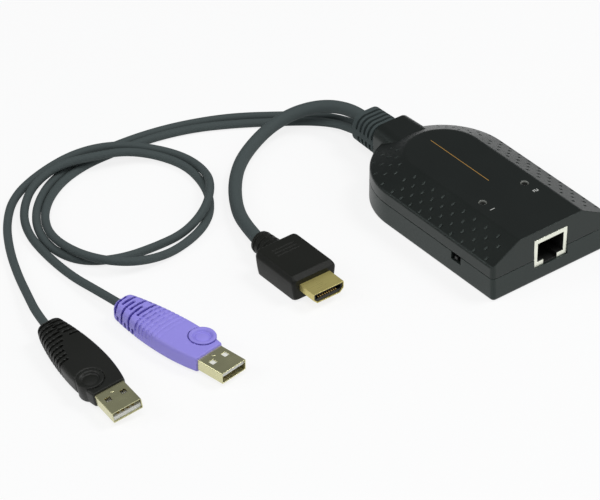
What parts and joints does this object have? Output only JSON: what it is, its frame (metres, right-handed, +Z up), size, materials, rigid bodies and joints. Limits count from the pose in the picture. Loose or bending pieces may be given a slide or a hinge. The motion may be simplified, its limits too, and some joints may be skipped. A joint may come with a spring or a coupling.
{
  "type": "KVM adapter dongle",
  "caption": "KVM adapter: flat dimpled case with a network socket, and a ribbed boot with HDMI and USB cables that end in plugs.",
  "frame": {"origin": "bottom centre of the case with its neck", "axes": "+X across the case, -Y towards the network socket, +Y towards the boot and cables, +Z up"},
  "size_m": [0.2102, 0.1669, 0.0214],
  "materials": {
    "case_plastic": "near-black charcoal, fine satin grain",
    "boot_rubber": "dark green-grey soft moulding",
    "cable_jacket": "slate green-grey jacket, soft sheen",
    "black_grip": "black satin moulding",
    "purple_grip": "violet satin moulding",
    "gold_shell": "gold-plated, satin",
    "nickel_shell": "nickel-plated, smooth",
    "plated_shield": "pale plated sheet",
    "black_moulding": "black, matt",
    "contact_gold": "gold-plated contact",
    "white_tongue": "white insulator",
    "clear_pipe": "smoky clear",
    "lamp_body": "pale lamp",
    "knob_plastic": "dark grey knob",
    "board_laminate": "green solder mask",
    "chip_epoxy": "black epoxy",
    "can_aluminium": "bright can",
    "header_nylon": "natural nylon",
    "screw_steel": "dark steel"
  },
  "bodies": {
    "adapter": {"upper_case": "case_plastic", "lower_case": "case_plastic", "case_screws": "screw_steel", "cable_boot": "boot_rubber", "circuit_board": "board_laminate", "jack_shield": "plated_shield", "network_jack": "black_moulding", "jack_contacts": "contact_gold", "link_led": "lamp_body", "power_led": "lamp_body", "link_light_pipe": "clear_pipe", "power_light_pipe": "clear_pipe", "recovery_switch_body": "black_moulding", "processor": "chip_epoxy", "video_chip": "chip_epoxy", "memory_chip": "chip_epoxy", "network_transformer": "chip_epoxy", "crystal": "plated_shield", "power_inductor": "chip_epoxy", "capacitors": "can_aluminium", "hdmi_header": "header_nylon", "usb_headers": "header_nylon", "hdmi_inner_lead": "cable_jacket", "black_inner_lead": "cable_jacket", "purple_inner_lead": "cable_jacket", "hdmi_cable": "cable_jacket", "usb_cable_black": "cable_jacket", "usb_cable_purple": "cable_jacket", "hdmi_grip": "black_grip", "hdmi_shell": "gold_shell", "hdmi_insulator": "black_moulding", "hdmi_contacts": "contact_gold", "black_usb_grip": "black_grip", "black_usb_shell": "nickel_shell", "black_usb_tongue": "white_tongue", "black_usb_contacts": "contact_gold", "purple_usb_grip": "purple_grip", "purple_usb_shell": "nickel_shell", "purple_usb_tongue": "white_tongue", "purple_usb_contacts": "contact_gold"},
    "switch_knob": {"recovery_switch_knob": "knob_plastic"}
  },
  "joints": [
    {"name": "recovery_slide", "type": "slide", "parent": "adapter", "child": "switch_knob", "axis": [0, -1, 0], "range_m": [0, 0.0012]}
  ]
}
